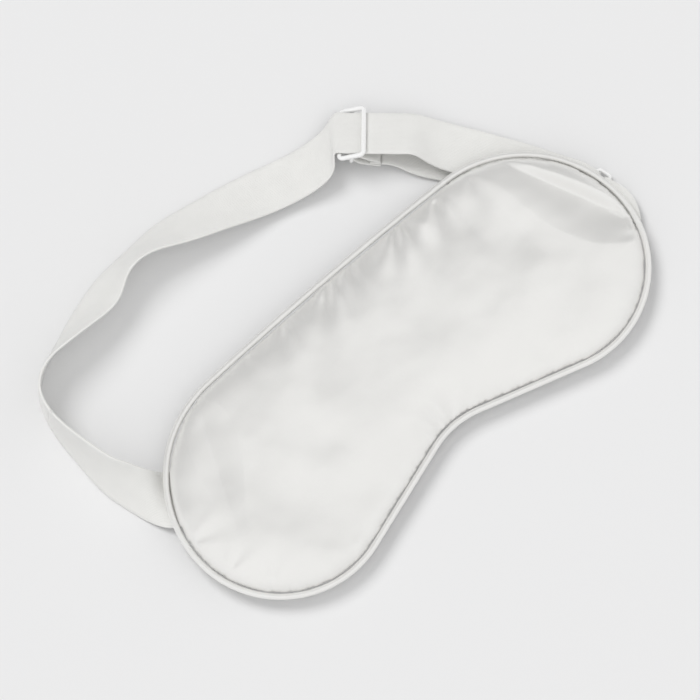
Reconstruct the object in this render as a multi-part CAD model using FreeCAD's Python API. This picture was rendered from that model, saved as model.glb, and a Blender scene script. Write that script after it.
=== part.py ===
import FreeCAD, Part
import math
import os

from FreeCAD import Vector

# Padded satin sleep mask with an adjustable elastic head strap.  Millimetres.
# Origin: centre of the flat face that lies against the eyes.  +X runs along the mask towards
# the ring side, +Y towards the forehead edge, +Z out of the front panel.

# Mask outline, measured on the outside of the piping
TIP_X = 106.0
TIP_Y = -3.0
UPPER_RADIUS = 49.0
LOWER_RADIUS = 42.0
CROWN_Y = 47.2
NOSE_Y = -28.6
NOSE_RADIUS = 34.0

# Mask layers
CLOTH = 0.4
PIPING_DIAMETER = 2.4
CORD_DIAMETER = 1.7
SEAM_Z = 2.2
SEAM_INSET = 2.45
LIP_WIDTH = 5.0
LINING_THICKNESS = 0.4
LINING_INSET = 7.2
THREAD = 0.35
THREAD_INSET = 3.7
CLEAR_BACK_LEFT = -78.0
CLEAR_BACK_RIGHT = 50.0

# Elastic strap, lying on the table around the mask
STRAP_WIDTH = 19.0
STRAP_THICKNESS = 1.0
TABLE_Z = -4.5
HANG_GAP = 0.25
SEWN_LENGTH = 8.6
TAB_END_Y = -6.0
TAB_END_GAP = 0.4

# Ring and its fabric tab, in a plan direction turned a little from +Y
RING_TURN = 14.0
RING_EDGE_X = 108.4
RING_WIRE = 1.4
RING_CORNER = 1.2
TAB_BAR = 5.6
STRAP_BAR = 11.1
LOOP_HOLLOW = 1.1
RING_SIDE_GAP = 0.55

# Slider on the straight stretch of the strap
SLIDER_X = 51.1
SLIDER_Y = 88.1
SLIDER_LIFT = 4.5
SLIDER_HEADING = -42.0
SLIDER_LEAN = 22.0
SLIDER_TRAVEL = 10.0
BAR_SPACING = 4.5
BAR_DIAMETER = 1.4
POST_DIAMETER = 1.5
FRAME_WIRE = 1.8
FRAME_CORNER = 1.6
FRAME_SIDE_GAP = 0.6
BAR_PLAY = 0.1
FIT = 0.2
FOLD_START = 5.4
FOLD_END = 11.0

os.makedirs("parts", exist_ok=True)

UP = Vector(0, 0, 1)


def save(name, shape):
    shape.exportStep("parts/" + name + ".step")


def heading(degrees):
    return Vector(math.cos(math.radians(degrees)), math.sin(math.radians(degrees)), 0)


def arc(centre, radius, start, end, z):
    """An arc about a vertical axis, from one angle to another in degrees."""
    points = []
    for angle in (start, (start + end) / 2, end):
        points.append(centre + heading(angle) * radius + UP * z)
    return Part.Arc(*points).toShape()


# ---------------------------------------------------------------- mask outline

def outline(inset, z):
    """The mask's outline moved inwards by inset, as one closed wire of tangent arcs."""
    upper = Vector(TIP_X - UPPER_RADIUS, TIP_Y, 0)
    lower = Vector(TIP_X - LOWER_RADIUS, TIP_Y, 0)
    nose = Vector(0, NOSE_Y - NOSE_RADIUS, 0)

    rise = CROWN_Y - upper.y
    crown_radius = (upper.x ** 2 + rise ** 2 - UPPER_RADIUS ** 2) / (2 * (rise - UPPER_RADIUS))
    crown = Vector(0, CROWN_Y - crown_radius, 0)
    crown_angle = math.degrees(math.atan2(upper.y - crown.y, upper.x))

    apart = nose - lower
    swing = math.acos((LOWER_RADIUS + NOSE_RADIUS) / apart.Length)
    cheek_angle = math.degrees(math.atan2(apart.y, apart.x) + swing)
    cheek = lower + heading(cheek_angle) * (LOWER_RADIUS - inset) + UP * z
    bridge_angle = cheek_angle + 180
    bridge = nose + heading(bridge_angle) * (NOSE_RADIUS + inset) + UP * z

    half = [
        arc(upper, UPPER_RADIUS - inset, crown_angle, 0, z),
        arc(lower, LOWER_RADIUS - inset, 0, cheek_angle, z),
        Part.makeLine(cheek, bridge),
    ]
    other_half = [edge.mirror(Vector(0, 0, 0), Vector(1, 0, 0)) for edge in half]
    top = arc(crown, crown_radius - inset, 180 - crown_angle, crown_angle, z)
    under_nose = arc(nose, NOSE_RADIUS + inset, bridge_angle, 180 - bridge_angle, z)
    return Part.Wire(Part.__sortEdges__([top] + half + [under_nose] + other_half))


def stack(levels):
    """A closed solid through outlines given as (inset, z) pairs."""
    return Part.makeLoft([outline(inset, z) for inset, z in levels], True, True)


def flat_ring(outer_inset, inner_inset, low, high):
    outside = stack([(outer_inset, low), (outer_inset, high)])
    return outside.cut(stack([(inner_inset, low), (inner_inset, high)]))


def divide(solid, cuts):
    """The same solid with its faces divided at each x in cuts.  The flat back is divided where the
    strap lies under it, so that its clear middle is a face of its own."""
    slices = []
    for left, right in zip(cuts, cuts[1:]):
        box = Part.makeBox(right - left, 4 * UPPER_RADIUS, 4 * UPPER_RADIUS)
        box.translate(Vector(left, -2 * UPPER_RADIUS, -2 * UPPER_RADIUS))
        slices.append(solid.common(box))
    return slices[0].multiFuse(slices[1:])


def round_ring(diameter):
    """A round bead all the way along the piping's centre line."""
    path = outline(PIPING_DIAMETER / 2, SEAM_Z)
    start = path.Edges[0].valueAt(path.Edges[0].FirstParameter)
    along = path.Edges[0].tangentAt(path.Edges[0].FirstParameter)
    section = Part.Wire(Part.makeCircle(diameter / 2, start, along))
    return path.makePipeShell([section], True, False)


# ---------------------------------------------------------------- mask pieces

def make_mask():
    lip_low = SEAM_Z - CLOTH / 2
    lip_high = SEAM_Z + CLOTH / 2
    lip_inset = SEAM_INSET + LIP_WIDTH
    fill_floor = CLOTH + LINING_THICKNESS + 0.1

    front_outside = [(SEAM_INSET, lip_high), (3.4, 4.4), (6.0, 6.2), (11.0, 7.6), (19.0, 8.6), (29.0, 9.0)]
    front_inside = [(inset + CLOTH, z - CLOTH) for inset, z in front_outside[1:]]
    front_inside = [(SEAM_INSET + CLOTH, lip_high)] + front_inside
    save("front_cover", stack(front_outside).cut(stack(front_inside)))

    back_outside = [(6.5, 0.0), (3.5, 0.8), (SEAM_INSET, lip_low)]
    back_inside = [(6.7, CLOTH), (4.1, 1.1), (SEAM_INSET + CLOTH, lip_low)]
    back = stack(back_outside).cut(stack(back_inside))
    save("back_cover", divide(back, (-TIP_X, CLEAR_BACK_LEFT, CLEAR_BACK_RIGHT, TIP_X)))

    bead = round_ring(PIPING_DIAMETER)
    cord_hole = round_ring(CORD_DIAMETER)
    lip = flat_ring(PIPING_DIAMETER / 2, lip_inset, lip_low, lip_high)
    save("piping_cover", bead.fuse(lip).cut(cord_hole))
    save("piping_cord", round_ring(CORD_DIAMETER - 0.1))

    thread_inner = THREAD_INSET + THREAD
    save("seam_thread", flat_ring(THREAD_INSET, thread_inner, lip_high, lip_high + THREAD))

    lining_low = CLOTH + 0.05
    lining = stack([(LINING_INSET, lining_low), (LINING_INSET, lining_low + LINING_THICKNESS)])
    save("blackout_lining", lining)

    above_lip = [(inset + 0.1, z - 0.1) for inset, z in front_inside[1:]]
    above_lip = [(thread_inner + 0.4, lip_high + 0.05)] + [level for level in above_lip if level[0] > 5]
    below_lip = [(lip_inset + 0.1, fill_floor), (lip_inset + 0.1, lip_high + 0.05)]
    save("wadding", stack(above_lip).fuse(stack(below_lip)).removeSplitter())


# ---------------------------------------------------------------- strap ribbon

def edge_curve(points, knots):
    curve = Part.BSplineCurve()
    curve.interpolate(Points=points, Parameters=knots)
    return curve


def lie(x, y, bearing, lean, lift=0.0):
    """One place on the strap: its outer edge, resting on the table or lifted off it, and its inner
    edge, which lies along bearing and leans up from flat."""
    tilt = math.radians(lean)
    rest = STRAP_THICKNESS / 2 * math.cos(tilt) + 0.05
    outer = Vector(x, y, TABLE_Z + rest + lift)
    across = heading(bearing) * math.cos(tilt) + UP * math.sin(tilt)
    return outer, outer + across * STRAP_WIDTH


def edge_pair(outer, inner):
    """One place on the strap from both edges, each x, y and height above the table."""
    return Vector(*outer) + UP * TABLE_Z, Vector(*inner) + UP * TABLE_Z


def ribbon_sections(places, per_span):
    """Thin rectangles across the strap, closely spaced from the first place to the last."""
    knots = [0.0]
    for before, after in zip(places, places[1:]):
        middle_step = (after[0] + after[1] - before[0] - before[1]).Length / 2
        knots.append(knots[-1] + middle_step)
    outer = edge_curve([place[0] for place in places], knots)
    inner = edge_curve([place[1] for place in places], knots)

    sections = []
    for start, end in zip(knots, knots[1:]):
        for step in range(per_span):
            sections.append(cross_section(outer, inner, start + (end - start) * step / per_span))
    sections.append(cross_section(outer, inner, knots[-1]))
    return sections


def cross_section(outer, inner, at):
    low = outer.value(at)
    high = inner.value(at)
    along = outer.tangent(at)[0] + inner.tangent(at)[0]
    half = (high - low).cross(along).normalize() * (STRAP_THICKNESS / 2)
    return Part.makePolygon([low - half, high - half, high + half, low + half, low - half])


def ribbon(sections):
    return Part.makeLoft(sections, True, True)


# ---------------------------------------------------------------- slider frame of reference

RUN = heading(SLIDER_HEADING)
SLIDER_BEARING = SLIDER_HEADING - 90
ACROSS = heading(SLIDER_BEARING) * math.cos(math.radians(SLIDER_LEAN))
ACROSS = ACROSS + UP * math.sin(math.radians(SLIDER_LEAN))
OUTWARD = ACROSS.cross(RUN)
SLIDER_ORIGIN = Vector(SLIDER_X, SLIDER_Y, TABLE_Z + SLIDER_LIFT)

# the centre bar hangs below the strap, with one more layer of strap between them
CENTRE_BAR = -1.5 * STRAP_THICKNESS - FIT - BAR_DIAMETER / 2 - BAR_PLAY


def at_slider(along, outward, across=0.0):
    """A point near the slider: along the strap, out of its face, and across its width."""
    return SLIDER_ORIGIN + RUN * along + OUTWARD * outward + ACROSS * across


def slider_place(along, outward=0.0):
    return at_slider(along, outward), at_slider(along, outward, STRAP_WIDTH)


def turning_place(along, outward, lean):
    """A place whose outer edge is near the slider and whose inner edge leans up from flat by lean."""
    outer = at_slider(along, outward)
    across = heading(SLIDER_BEARING) * math.cos(math.radians(lean)) + UP * math.sin(math.radians(lean))
    return outer, outer + across * STRAP_WIDTH


# ---------------------------------------------------------------- ring frame of reference

RING_RUN = heading(90 + RING_TURN)
RING_ACROSS = heading(180 + RING_TURN)
STRAP_TOP_Z = -HANG_GAP
LOOP_CENTRE_Z = STRAP_TOP_Z - STRAP_THICKNESS - LOOP_HOLLOW


def at_ring(along, z, across=0.0):
    """A point near the ring: along the tab towards the strap, at a height, and across."""
    return Vector(RING_EDGE_X, 0, z) + RING_RUN * along + RING_ACROSS * across


def ring_place(along, z):
    return at_ring(along, z), at_ring(along, z, STRAP_WIDTH)


# ---------------------------------------------------------------- long strap

def make_strap():
    upper_z = STRAP_TOP_Z - STRAP_THICKNESS / 2

    # outer and inner edges where the strap twists up from under the piping
    hang = upper_z - TABLE_Z
    left_rise = [
        edge_pair((-102.4, 11.8, hang), (-91.4, 29.8, hang)),
        edge_pair((-104.6, 13.6, 3.2), (-93.3, 31.6, 4.5)),
        edge_pair((-107.3, 18.0, 1.6), (-95.6, 33.0, 9.0)),
        edge_pair((-109.6, 24.2, 0.6), (-97.9, 35.3, 12.6)),
        edge_pair((-111.6, 31.0, 0.4), (-100.0, 38.2, 14.3)),
        edge_pair((-113.2, 37.5, 0.4), (-101.7, 41.0, 15.6)),
    ]
    # x and y of the outer edge, bearing across the strap, lean from flat, lift off the table
    side_bend = [
        lie(-113.8, 43, 3, 57),
        lie(-113.6, 53, -1, 69),
        lie(-113.2, 64, -6, 78),
        lie(-111.6, 74, -20, 85),
        lie(-107.5, 83.5, -36, 88),
        lie(-100.5, 90, -54, 83),
        lie(-91, 94, -67, 73),
    ]
    back_run = [
        lie(-81, 98, -69, 58),
        lie(-72, 101, -73, 47),
        lie(-63, 103.2, -81, 47),
        lie(-54, 103.9, -87, 60),
        lie(-45, 104.3, -86, 61),
        lie(-35, 104.8, -93, 49),
        lie(-24, 103.6, -99, 37),
        lie(-12, 101.3, -103, 28),
    ]
    slider_run = [
        lie(0, 98.7, -103, 17),
        lie(12, 95.5, -106, 11),
        lie(24, 92.2, -107, 14, 0.4),
        lie(34, 90.6, -112, 18, 1.7),
        lie(41, 91.0, -122, 21, 3.0),
    ]
    straight_start = -BAR_SPACING - 1.5
    straight_end = FOLD_END + SLIDER_TRAVEL + 1
    steps = 8
    straight = []
    for step in range(steps + 1):
        straight.append(slider_place(straight_start + (straight_end - straight_start) * step / steps))
    outer_run = [
        lie(72.6, 66.6, -137, 14, 2.8),
        lie(79.0, 57.5, -142, 5, 1.8),
        lie(87.0, 45.7, -145, 1, 1.4),
        lie(95.0, 33.0, -150, 0, 1.4),
        lie(101.2, 21.8, -158, 0, 2.3),
        ring_place(STRAP_BAR + 4, upper_z),
        ring_place(STRAP_BAR + 2, upper_z),
        ring_place(STRAP_BAR, upper_z),
    ]
    stretches = [
        ("strap_left_rise", left_rise),
        ("strap_side_bend", side_bend),
        ("strap_back_run", back_run),
        ("strap_slider_run", slider_run + straight),
        ("strap_outer_run", outer_run),
    ]
    places = [place for name, stretch in stretches for place in stretch]
    per_span = 3
    sections = ribbon_sections(places, per_span)
    first = 0
    for name, stretch in stretches:
        last = min(first + len(stretch) * per_span, len(sections) - 1)
        save(name, ribbon(sections[first:last + 1]))
        first = last


def make_inner_run():
    """The returning half of the strap, under the outer run, from the ring to the slider."""
    lower_z = LOOP_CENTRE_Z - LOOP_HOLLOW - STRAP_THICKNESS / 2
    fold_depth = -STRAP_THICKNESS * 3 - FIT
    places = [
        slider_place(FOLD_END + 0.3, fold_depth),
        turning_place(FOLD_END + 4, fold_depth - 0.1, 15),
        lie(66.0, 70.0, -136, 5, 0.4),
        lie(74.0, 59.0, -141, 1, 0.1),
        lie(84.0, 45.2, -145, 0, 0.1),
        lie(93.2, 32.6, -150, 0, 0.1),
        lie(100.4, 21.6, -158, 0, 0.1),
        ring_place(STRAP_BAR + 4, lower_z),
        ring_place(STRAP_BAR + 2, lower_z),
        ring_place(STRAP_BAR, lower_z),
    ]
    save("strap_inner_run", ribbon(ribbon_sections(places, 3)))


def extrude_profile(points_and_arcs, hole, place, direction):
    """A flat profile with one hole, set in space by place() and pushed along direction."""
    outer = Part.Face(profile_wire(points_and_arcs, place))
    inner = Part.Face(profile_wire(hole, place))
    return outer.cut(inner).extrude(direction * STRAP_WIDTH)


def profile_wire(steps, place):
    """Each step is the next point, or a middle and an end point of an arc."""
    edges = []
    here = steps[0]
    for step in steps[1:]:
        if len(step) == 2:
            edges.append(Part.makeLine(place(*here), place(*step)))
            here = step
        else:
            middle, end = step[:2], step[2:]
            edges.append(Part.Arc(place(*here), place(*middle), place(*end)).toShape())
            here = end
    return Part.Wire(edges)


def make_ring_turn():
    """The strap's turn round the ring's upper bar."""
    inner = LOOP_HOLLOW
    outer = LOOP_HOLLOW + STRAP_THICKNESS
    top = LOOP_CENTRE_Z + outer
    bottom = LOOP_CENTRE_Z - outer
    steps = [
        (STRAP_BAR, top),
        (STRAP_BAR - outer, LOOP_CENTRE_Z, STRAP_BAR, bottom),
        (STRAP_BAR, LOOP_CENTRE_Z - inner),
        (STRAP_BAR - inner, LOOP_CENTRE_Z, STRAP_BAR, LOOP_CENTRE_Z + inner),
        (STRAP_BAR, top),
    ]
    turn = Part.Face(profile_wire(steps, at_ring)).extrude(RING_ACROSS * STRAP_WIDTH)
    save("strap_ring_turn", turn)


def make_sewn_end():
    """The strap's flat end, stitched to the back of the mask inside its left edge."""
    corners = [(-102.0, 11.5), (-94.5, 6.6), (-83.5, 24.6), (-91.0, 29.3)]
    save("strap_sewn_end", plate(corners, -STRAP_THICKNESS, 0))
    save("strap_end_tack", bar_tack(Vector(-92.2, 18.4, -STRAP_THICKNESS), 15, 58))


def plate(corners, low, high):
    points = [Vector(x, y, low) for x, y in corners]
    face = Part.Face(Part.makePolygon(points + points[:1]))
    return face.extrude(UP * (high - low))


def bar_tack(centre, length, bearing):
    """A zigzag row of stitches lying under a flat piece of webbing."""
    count = 10
    reach = 3.0
    stitches = []
    for index in range(count):
        stitch = Part.makeBox(THREAD, reach, THREAD, Vector(-THREAD / 2, -reach / 2, -THREAD))
        zigzag = 18 if index % 2 == 0 else -18
        stitch.rotate(Vector(0, 0, 0), UP, zigzag)
        stitch.translate(Vector((index / (count - 1) - 0.5) * length, 0, 0))
        stitch.rotate(Vector(0, 0, 0), UP, bearing)
        stitch.translate(centre)
        stitches.append(stitch)
    return Part.makeCompound(stitches)


# ---------------------------------------------------------------- ring and tab

def rounded_loop(corner, place, along_low, along_high, across_low, across_high):
    """A rounded rectangle as a wire; corner is the radius at its centre line."""
    spots = [
        (along_low, across_low, 1, 1),
        (along_high, across_low, -1, 1),
        (along_high, across_high, -1, -1),
        (along_low, across_high, 1, -1),
    ]
    ends = []
    for index, (along, across, into_along, into_across) in enumerate(spots):
        centre = (along + into_along * corner, across + into_across * corner)
        middle = corner * (1 - math.sqrt(0.5))
        by_along = (centre[0], across)
        by_across = (along, centre[1])
        first, last = (by_across, by_along) if index % 2 == 0 else (by_along, by_across)
        half_way = (along + into_along * middle, across + into_across * middle)
        ends.append((first, half_way, last))
    edges = []
    for index, (first, half_way, last) in enumerate(ends):
        edges.append(Part.Arc(place(*first), place(*half_way), place(*last)).toShape())
        following = ends[(index + 1) % 4][0]
        edges.append(Part.makeLine(place(*last), place(*following)))
    return Part.Wire(edges)


def bent_wire(path, diameter):
    """A round wire bent along a closed path, starting on its first straight side."""
    start = path.Edges[1]
    section = Part.makeCircle(diameter / 2, start.valueAt(start.FirstParameter), start.tangentAt(0))
    path = Part.Wire(path.Edges[1:] + path.Edges[:1])
    return path.makePipeShell([Part.Wire(section)], True, False)


def make_ring():
    side = RING_SIDE_GAP + RING_WIRE / 2

    def place(along, across):
        return at_ring(along, LOOP_CENTRE_Z, across)

    path = rounded_loop(RING_CORNER, place, TAB_BAR, STRAP_BAR, -side, STRAP_WIDTH + side)
    save("ring", bent_wire(path, RING_WIRE))


def make_tab():
    inner = LOOP_HOLLOW
    outer = LOOP_HOLLOW + STRAP_THICKNESS
    top = LOOP_CENTRE_Z + outer
    bottom = LOOP_CENTRE_Z - outer
    joined = top - 2 * STRAP_THICKNESS
    tail = -12.0
    steps = [
        (tail, top),
        (TAB_BAR, top),
        (TAB_BAR + outer, LOOP_CENTRE_Z, TAB_BAR, bottom),
        (TAB_BAR - 1.2, bottom),
        (TAB_BAR - 5.1, joined),
        (tail, joined),
        (tail, top),
    ]
    hollow = [
        (TAB_BAR, LOOP_CENTRE_Z + inner),
        (TAB_BAR + inner, LOOP_CENTRE_Z, TAB_BAR, LOOP_CENTRE_Z - inner),
        (TAB_BAR - 0.7, LOOP_CENTRE_Z - inner),
        (TAB_BAR - 4.6, LOOP_CENTRE_Z + inner),
        (TAB_BAR, LOOP_CENTRE_Z + inner),
    ]
    tab = extrude_profile(steps, hollow, at_ring, RING_ACROSS)
    swinging_side = Part.makeBox(60, 60, 20, Vector(70, TAB_END_Y + TAB_END_GAP, -10))
    save("ring_tab", tab.common(swinging_side))

    near = TAB_END_Y - TAB_END_GAP
    far = near - SEWN_LENGTH
    corners = [(109.8, near), (108.2, near - 5), (104.3, far), (89.0, far), (89.5, near)]
    save("tab_sewn_end", plate(corners, -2 * STRAP_THICKNESS, 0))
    save("tab_tack", bar_tack(Vector(97.5, far + 4, -2 * STRAP_THICKNESS), 15, 0))


# ---------------------------------------------------------------- slider

def rod(start, end, diameter):
    return Part.makeCylinder(diameter / 2, (end - start).Length, start, end - start)


def make_slider():
    """A bent wire frame, tilted so that the strap passes over its first bar and under its last.
    Its centre bar hangs below the strap on two posts."""
    side = FRAME_SIDE_GAP + FRAME_WIRE / 2
    rise = STRAP_THICKNESS / 2 + FIT + FRAME_WIRE / 2
    tilted_run = RUN * BAR_SPACING + OUTWARD * rise
    half_length = tilted_run.Length
    tilted_run = tilted_run.normalize()

    def place(along, across):
        return SLIDER_ORIGIN + tilted_run * along + ACROSS * across

    far_side = STRAP_WIDTH + side
    path = rounded_loop(FRAME_CORNER, place, -half_length, half_length, -side, far_side)
    frame = bent_wire(path, FRAME_WIRE)
    low_corners = [at_slider(0, CENTRE_BAR, across) for across in (-side, far_side)]
    frame = frame.fuse(rod(low_corners[0], low_corners[1], BAR_DIAMETER))
    for across, corner in zip((-side, far_side), low_corners):
        frame = frame.fuse(rod(place(0, across), corner, POST_DIAMETER))
        frame = frame.fuse(Part.makeSphere(POST_DIAMETER / 2, corner))
    save("slider", frame.removeSplitter())


def make_fold():
    """The strap's end, folded round the centre bar and stitched to itself."""
    inner = BAR_DIAMETER / 2 + BAR_PLAY
    outer = inner + STRAP_THICKNESS
    top, second, third, fourth = [CENTRE_BAR + outer - layer * STRAP_THICKNESS for layer in range(4)]
    rounding = 0.4
    steps = [
        (0, top),
        (-outer, CENTRE_BAR, 0, CENTRE_BAR - outer),
        (FOLD_START, fourth),
        (FOLD_END, fourth),
        (FOLD_END, third),
        (FOLD_END - rounding, third),
        (FOLD_END + 0.3, second, FOLD_END - rounding, top),
        (0, top),
    ]
    hollow = [
        (0, CENTRE_BAR + inner),
        (-inner, CENTRE_BAR, 0, CENTRE_BAR - inner),
        (FOLD_START, third),
        (FOLD_START, second),
        (0, CENTRE_BAR + inner),
    ]
    save("strap_slider_loop", extrude_profile(steps, hollow, at_slider, ACROSS))

    stitches = []
    count = 7
    stitch_length = 1.8
    for index in range(count):
        middle = STRAP_WIDTH * (index + 0.5) / count
        ends = []
        for across in (middle - stitch_length / 2, middle + stitch_length / 2):
            ends.append(at_slider(FOLD_START + 3, fourth - THREAD / 2, across))
        stitches.append(rod(ends[0], ends[1], THREAD))
    save("fold_stitches", Part.makeCompound(stitches))


make_mask()
make_strap()
make_inner_run()
make_ring_turn()
make_sewn_end()
make_ring()
make_tab()
make_slider()
make_fold()
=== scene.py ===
"""A padded satin sleep mask with a piped edge and an adjustable elastic strap."""

import math

import bpy
import numpy as np
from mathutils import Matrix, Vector, noise
from mathutils.geometry import delaunay_2d_cdt


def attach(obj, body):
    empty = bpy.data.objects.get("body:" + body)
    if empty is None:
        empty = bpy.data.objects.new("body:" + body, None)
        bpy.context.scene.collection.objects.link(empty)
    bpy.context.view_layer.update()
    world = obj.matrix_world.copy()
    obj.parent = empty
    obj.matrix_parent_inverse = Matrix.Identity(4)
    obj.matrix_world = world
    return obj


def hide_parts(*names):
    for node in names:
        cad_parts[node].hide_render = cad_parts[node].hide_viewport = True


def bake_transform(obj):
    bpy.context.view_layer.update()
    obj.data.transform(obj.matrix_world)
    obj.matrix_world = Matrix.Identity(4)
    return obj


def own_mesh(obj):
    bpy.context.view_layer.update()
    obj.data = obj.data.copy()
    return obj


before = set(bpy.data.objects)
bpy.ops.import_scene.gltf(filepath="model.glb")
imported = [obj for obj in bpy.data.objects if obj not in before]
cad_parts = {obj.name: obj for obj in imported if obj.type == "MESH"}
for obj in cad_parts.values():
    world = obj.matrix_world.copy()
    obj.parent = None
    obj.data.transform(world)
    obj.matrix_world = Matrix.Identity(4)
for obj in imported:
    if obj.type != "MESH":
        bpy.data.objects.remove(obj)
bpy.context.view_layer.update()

# ---------------------------------------------------------------- driving sizes, millimetres

MM = 0.001
TIP_X = 106.0
TIP_Y = -3.0
UPPER_RADIUS = 49.0
LOWER_RADIUS = 42.0
CROWN_Y = 47.2
NOSE_Y = -28.6
NOSE_RADIUS = 34.0
PIPING_RADIUS = 1.2
SEAM_Z = 2.2
SEAM_INSET = 2.3

TABLE_Z = -4.5
STRAP_WIDTH = 19.0
STRAP_THICKNESS = 1.0
HANG_GAP = 0.25

RING_TURN = 14.0
RING_EDGE_X = 108.4
TAB_BAR = 5.6
STRAP_BAR = 11.1
LOOP_HOLLOW = 1.1

SLIDER_X = 51.1
SLIDER_Y = 88.1
SLIDER_LIFT = 4.5
SLIDER_HEADING = -42.0
SLIDER_LEAN = 22.0
SLIDER_TRAVEL = 10.0
BAR_SPACING = 4.5
BAR_DIAMETER = 1.4
BAR_PLAY = 0.1
FIT = 0.2
FOLD_START = 5.4
FOLD_END = 11.0
FOLD_LEAN = 10.0

VIEW_TURN = 41.3
VIEW_TILT = 77.0
CAMERA_DISTANCE = 2.2
VIEW_WIDTH = 0.2612

UP = Vector((0, 0, 1))


def heading(degrees):
    return Vector((math.cos(math.radians(degrees)), math.sin(math.radians(degrees)), 0))


# ---------------------------------------------------------------- materials

IN_MILLIMETRES = (1000, 1000, 1000)


def new_material(name, color, roughness, **settings):
    """A material whose constants sit on the shader's own sockets."""
    material = bpy.data.materials.new(name)
    material.use_nodes = True
    shader = material.node_tree.nodes["Principled BSDF"]
    shader.inputs["Base Color"].default_value = (*color, 1)
    shader.inputs["Roughness"].default_value = roughness
    for socket, value in settings.items():
        shader.inputs[socket.replace("_", " ")].default_value = value
    return material, material.node_tree, shader


def add_node(tree, kind, **values):
    node = tree.nodes.new(kind)
    for socket, value in values.items():
        node.inputs[socket].default_value = value
    return node


def scaled_coordinates(tree, scale, attribute=None):
    """Object coordinates, or a stored attribute, multiplied by scale on each axis."""
    if attribute:
        source = tree.nodes.new("ShaderNodeAttribute")
        source.attribute_name = attribute
        socket = source.outputs["Vector"]
    else:
        socket = tree.nodes.new("ShaderNodeTexCoord").outputs["Object"]
    mapping = add_node(tree, "ShaderNodeMapping", Scale=scale)
    tree.links.new(socket, mapping.inputs["Vector"])
    return mapping.outputs["Vector"]


def noise_height(tree, vector, scale, detail):
    texture = add_node(tree, "ShaderNodeTexNoise", Scale=scale, Detail=detail)
    tree.links.new(vector, texture.inputs["Vector"])
    return texture.outputs["Fac"]


def wave_height(tree, vector, scale, direction, distortion):
    texture = add_node(tree, "ShaderNodeTexWave", Scale=scale, Distortion=distortion)
    texture.bands_direction = direction
    tree.links.new(vector, texture.inputs["Vector"])
    return texture.outputs["Fac"]


def add_bump(tree, shader, height, depth, before=None):
    """Bump of the given depth in millimetres, on top of an earlier one."""
    bump = add_node(tree, "ShaderNodeBump", Strength=1.0, Distance=depth * MM)
    tree.links.new(height, bump.inputs["Height"])
    if before:
        tree.links.new(before, bump.inputs["Normal"])
    tree.links.new(bump.outputs["Normal"], shader.inputs["Normal"])
    return bump.outputs["Normal"]


def vary(tree, shader, socket, factor, low, high):
    """Drives a socket between two colours or two values by a 0 to 1 factor."""
    ramp = tree.nodes.new("ShaderNodeValToRGB")
    for element, value in zip(ramp.color_ramp.elements, (low, high)):
        element.color = (*value, 1) if isinstance(value, tuple) else (value, value, value, 1)
    ramp.color_ramp.elements[0].position = 0.3
    ramp.color_ramp.elements[1].position = 0.7
    tree.links.new(factor, ramp.inputs["Fac"])
    tree.links.new(ramp.outputs["Color"], shader.inputs[socket])


def shade(color, factor):
    return tuple(channel * factor for channel in color)


def satin_material(name, color, weave_turn=0.0):
    material, tree, shader = new_material(
        name, color, 0.4, Specular_IOR_Level=0.5, Metallic=0.4)
    vector = scaled_coordinates(tree, IN_MILLIMETRES)
    broad = noise_height(tree, vector, 0.05, 3)
    fleck = noise_height(tree, vector, 1.4, 2)
    vary(tree, shader, "Base Color", broad, shade(color, 0.975), color)
    vary(tree, shader, "Roughness", fleck, 0.34, 0.46)
    threads = wave_height(tree, vector, 1.1, "DIAGONAL" if weave_turn else "X", 0.6)
    bump = add_bump(tree, shader, threads, 0.006)
    bump = add_bump(tree, shader, fleck, 0.03, bump)
    add_bump(tree, shader, broad, 0.25, bump)
    return material


def elastic_material(name, color):
    """Plush elastic: ribs along the run and a fine nap."""
    material, tree, shader = new_material(
        name, color, 0.85, Specular_IOR_Level=0.25, Sheen_Weight=0.35, Sheen_Roughness=0.5)
    vector = scaled_coordinates(tree, (1, 1, 1), "cloth")
    ribs = wave_height(tree, vector, 0.55, "X", 0.0)
    picks = wave_height(tree, vector, 0.8, "Y", 0.4)
    nap = noise_height(tree, vector, 2.2, 3)
    broad = noise_height(tree, vector, 0.12, 2)
    vary(tree, shader, "Base Color", broad, shade(color, 0.97), color)
    vary(tree, shader, "Roughness", nap, 0.8, 0.95)
    bump = add_bump(tree, shader, ribs, 0.05)
    bump = add_bump(tree, shader, picks, 0.03, bump)
    add_bump(tree, shader, nap, 0.08, bump)
    return material


def plain_cloth_material(name, color, grain):
    material, tree, shader = new_material(name, color, 0.9, Sheen_Weight=0.2)
    vector = scaled_coordinates(tree, IN_MILLIMETRES)
    fleck = noise_height(tree, vector, grain, 3)
    vary(tree, shader, "Base Color", fleck, shade(color, 0.9), color)
    vary(tree, shader, "Roughness", fleck, 0.8, 0.95)
    add_bump(tree, shader, fleck, 0.05)
    return material


def thread_material(name, color):
    material, tree, shader = new_material(name, color, 0.6, Sheen_Weight=0.2)
    vector = scaled_coordinates(tree, IN_MILLIMETRES)
    twist = wave_height(tree, vector, 3.0, "DIAGONAL", 0.5)
    vary(tree, shader, "Base Color", twist, shade(color, 0.88), color)
    add_bump(tree, shader, twist, 0.04)
    return material


def enamel_material(name, color):
    """White enamelled metal with a faint orange-peel surface."""
    material, tree, shader = new_material(
        name, color, 0.22, Specular_IOR_Level=0.55, Coat_Weight=0.5, Coat_Roughness=0.12)
    vector = scaled_coordinates(tree, IN_MILLIMETRES)
    peel = noise_height(tree, vector, 1.6, 2)
    vary(tree, shader, "Base Color", peel, shade(color, 0.97), color)
    vary(tree, shader, "Roughness", peel, 0.18, 0.28)
    add_bump(tree, shader, peel, 0.012)
    return material


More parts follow.
